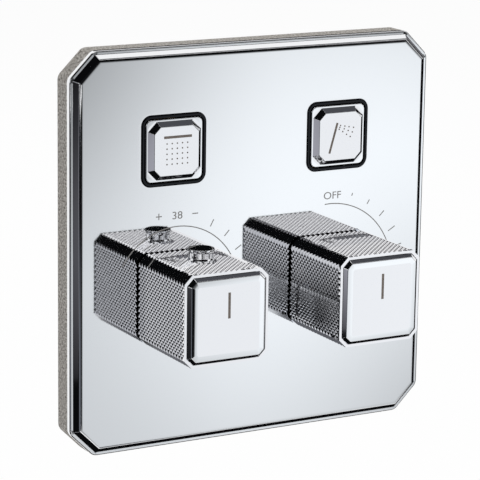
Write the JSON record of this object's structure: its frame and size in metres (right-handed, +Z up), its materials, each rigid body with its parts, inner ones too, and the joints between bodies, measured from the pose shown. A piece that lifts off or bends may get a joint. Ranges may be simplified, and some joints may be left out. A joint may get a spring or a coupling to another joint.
{
  "type": "thermostatic shower control unit",
  "caption": "Concealed thermostatic shower control: square chromed plate with cut corners, knurled temperature and flow knobs, push buttons for the outlets, and the valve behind it.",
  "frame": {"origin": "centre of the fixing plate's four wall screws, on the finished wall", "axes": "+X to the user's right, +Y into the wall, +Z up; the knobs stand out towards -Y"},
  "size_m": [0.18, 0.1208, 0.18],
  "materials": {
    "chromed_brass": "polished",
    "cast_brass": "as cast and turned",
    "stainless_steel": "bright",
    "moulded_acetal": "matt",
    "drawn_copper": "drawn",
    "seal_rubber": "matt",
    "alumina": "lapped",
    "closed_cell_foam": "cut foam"
  },
  "bodies": {
    "valve": {"cold_inlet_union": "cast_brass", "face_plate": "chromed_brass", "flow_clamp_sleeve": "chromed_brass", "flow_fixed_disc": "alumina", "flow_housing": "cast_brass", "flow_nut": "cast_brass", "flow_o_ring": "seal_rubber", "flow_seat_seal": "seal_rubber", "flow_stop_ring": "moulded_acetal", "foam_gasket": "closed_cell_foam", "hand_button_collar": "chromed_brass", "hand_button_spring": "stainless_steel", "hand_outlet_union": "cast_brass", "hand_push_housing": "cast_brass", "hot_inlet_union": "cast_brass", "inlet_check_valves": "moulded_acetal", "inlet_strainers": "stainless_steel", "push_o_rings": "seal_rubber", "rain_button_collar": "chromed_brass", "rain_button_spring": "stainless_steel", "rain_outlet_union": "cast_brass", "rain_push_housing": "cast_brass", "sleeve_o_rings": "seal_rubber", "temperature_clamp_sleeve": "chromed_brass", "temperature_stop_ring": "moulded_acetal", "thermostat_housing": "cast_brass", "thermostat_nut": "cast_brass", "thermostat_o_rings": "seal_rubber", "thermostat_return_spring": "stainless_steel", "valve_body": "cast_brass", "wall_plate": "stainless_steel", "wall_plate_screws": "stainless_steel"},
    "temperature_knob": {"temperature_knob_sleeve": "chromed_brass", "temperature_knob_cap": "chromed_brass", "temperature_knob_hub": "moulded_acetal", "temperature_grub_screw": "stainless_steel", "temperature_spindle": "cast_brass", "safety_button_spring": "stainless_steel"},
    "flow_knob": {"flow_knob_sleeve": "chromed_brass", "flow_knob_cap": "chromed_brass", "flow_knob_hub": "moulded_acetal", "flow_grub_screw": "stainless_steel", "flow_spindle": "cast_brass", "flow_moving_disc": "alumina"},
    "rain_button": {"rain_button_cap": "chromed_brass", "rain_button_plunger": "cast_brass", "rain_valve_seal": "seal_rubber"},
    "hand_button": {"hand_button_cap": "chromed_brass", "hand_button_plunger": "cast_brass", "hand_valve_seal": "seal_rubber"},
    "safety_button": {"safety_button": "chromed_brass"},
    "thermostat_slide": {"regulating_pusher": "moulded_acetal", "wax_element": "drawn_copper", "regulating_spool": "moulded_acetal"}
  },
  "joints": [
    {"name": "temperature_turn", "type": "hinge", "parent": "valve", "child": "temperature_knob", "pos_m": [-0.03834, 0, -0.02039], "axis": [0, -1, 0], "range_deg": [-100, 45]},
    {"name": "flow_turn", "type": "hinge", "parent": "valve", "child": "flow_knob", "pos_m": [0.03834, 0, -0.02039], "axis": [0, 1, 0], "range_deg": [0, 90]},
    {"name": "rain_press", "type": "slide", "parent": "valve", "child": "rain_button", "axis": [0, 1, 0], "range_m": [0, 0.003], "stiffness_N_per_m": 1500, "springref_m": -0.002, "deforming": ["rain_button_spring"]},
    {"name": "hand_press", "type": "slide", "parent": "valve", "child": "hand_button", "axis": [0, 1, 0], "range_m": [0, 0.003], "stiffness_N_per_m": 1500, "springref_m": -0.002, "deforming": ["hand_button_spring"]},
    {"name": "safety_press", "type": "slide", "parent": "temperature_knob", "child": "safety_button", "axis": [0, 0, -1], "range_m": [0, 0.0025], "stiffness_N_per_m": 800, "springref_m": -0.002, "deforming": ["safety_button_spring"]},
    {"name": "regulating_travel", "type": "slide", "parent": "valve", "child": "thermostat_slide", "axis": [0, 1, 0], "range_m": [-0.0008, 0.0017], "deforming": ["thermostat_return_spring"]}
  ],
  "couplings": [
    {"joint": "regulating_travel", "follows": "temperature_turn", "m_per_rad": -0.000955}
  ]
}
